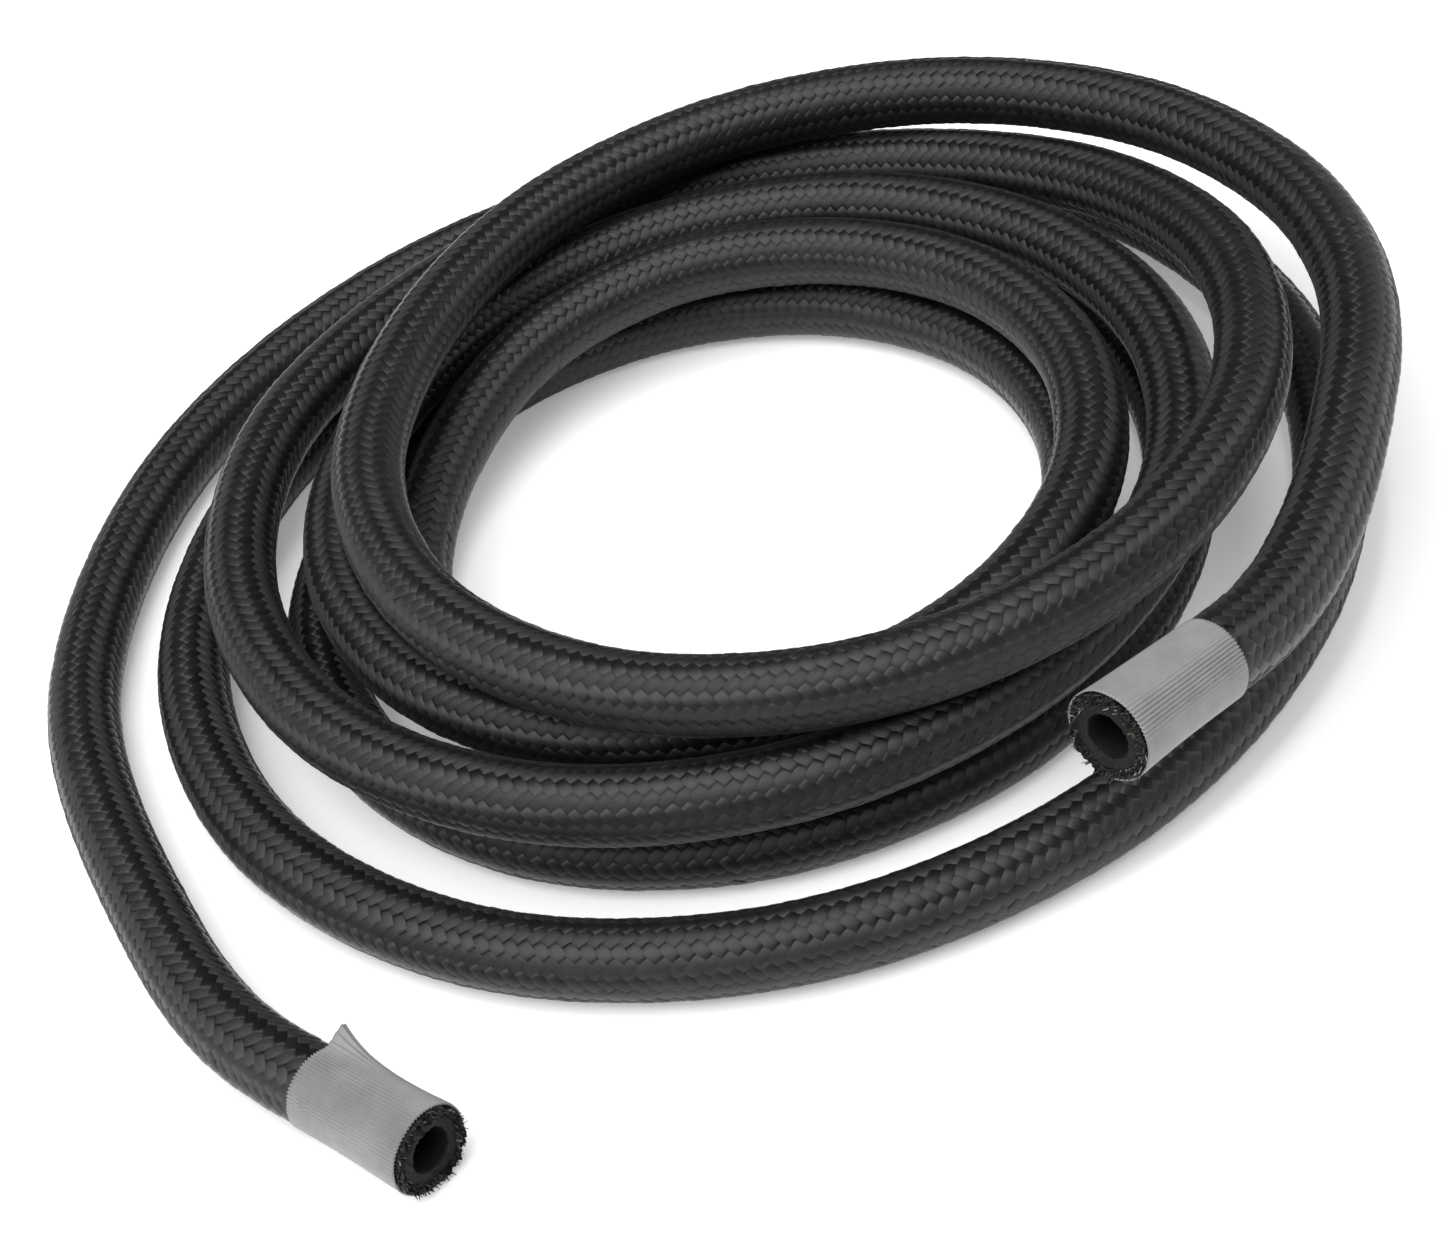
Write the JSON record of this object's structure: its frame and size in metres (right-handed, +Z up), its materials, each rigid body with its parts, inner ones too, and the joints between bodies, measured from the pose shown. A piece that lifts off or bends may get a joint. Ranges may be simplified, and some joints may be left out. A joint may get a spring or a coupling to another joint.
{
  "type": "hydraulic hose assembly",
  "caption": "Length of black braided fuel or oil hose lying in a loose coil, both plain cut ends bound with light grey ribbed tape.",
  "frame": {"origin": "on the floor under the middle of the whole coil", "axes": "+Z up from the floor the coil lies on, +Y towards the back of the coil, +X to the right with both cut ends in front"},
  "size_m": [0.2163, 0.2197, 0.0418],
  "materials": {
    "tube_rubber": "matt black synthetic rubber",
    "yarn": "tan and white reinforcement yarn",
    "nylon_braid": "satin black nylon braid",
    "tape": "light grey ribbed tape"
  },
  "bodies": {
    "root": {"inner_tube": "tube_rubber", "yarn_reinforcement": "yarn", "nylon_cover": "nylon_braid", "end_tape_a": "tape", "end_tape_b": "tape"}
  },
  "joints": []
}
